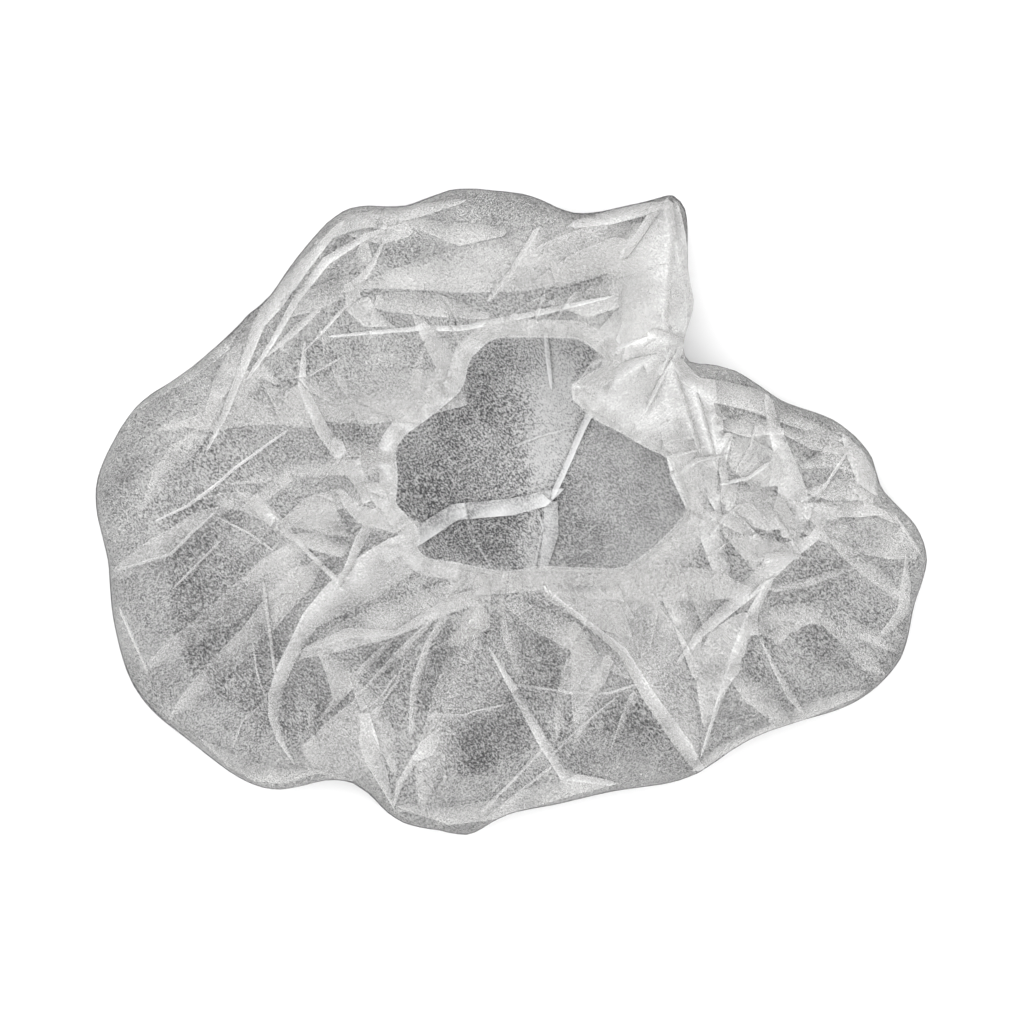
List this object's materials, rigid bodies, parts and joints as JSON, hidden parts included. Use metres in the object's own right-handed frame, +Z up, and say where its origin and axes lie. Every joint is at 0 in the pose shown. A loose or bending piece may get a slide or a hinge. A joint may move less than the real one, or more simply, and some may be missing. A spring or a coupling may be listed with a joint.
{
  "type": "bouffant cap",
  "caption": "Gathered non-woven bouffant cap lying on its crown, with an elasticated opening upwards and a loose, pleated side folded over it.",
  "frame": {"origin": "on the resting plane, under the middle of the outline's box", "axes": "+Z up, away from the surface and out of the opening; +X along the cap's longest side, +Y towards the standing corner"},
  "size_m": [0.3202, 0.2496, 0.0532],
  "materials": {
    "nonwoven": "sheer spunbond, matt",
    "hem": "sheer spunbond folded double, matt",
    "elastic": "knitted elastic, matt"
  },
  "bodies": {
    "root": {"cap_fabric": "nonwoven", "hem_channel": "hem", "elastic_band": "elastic"}
  },
  "joints": []
}
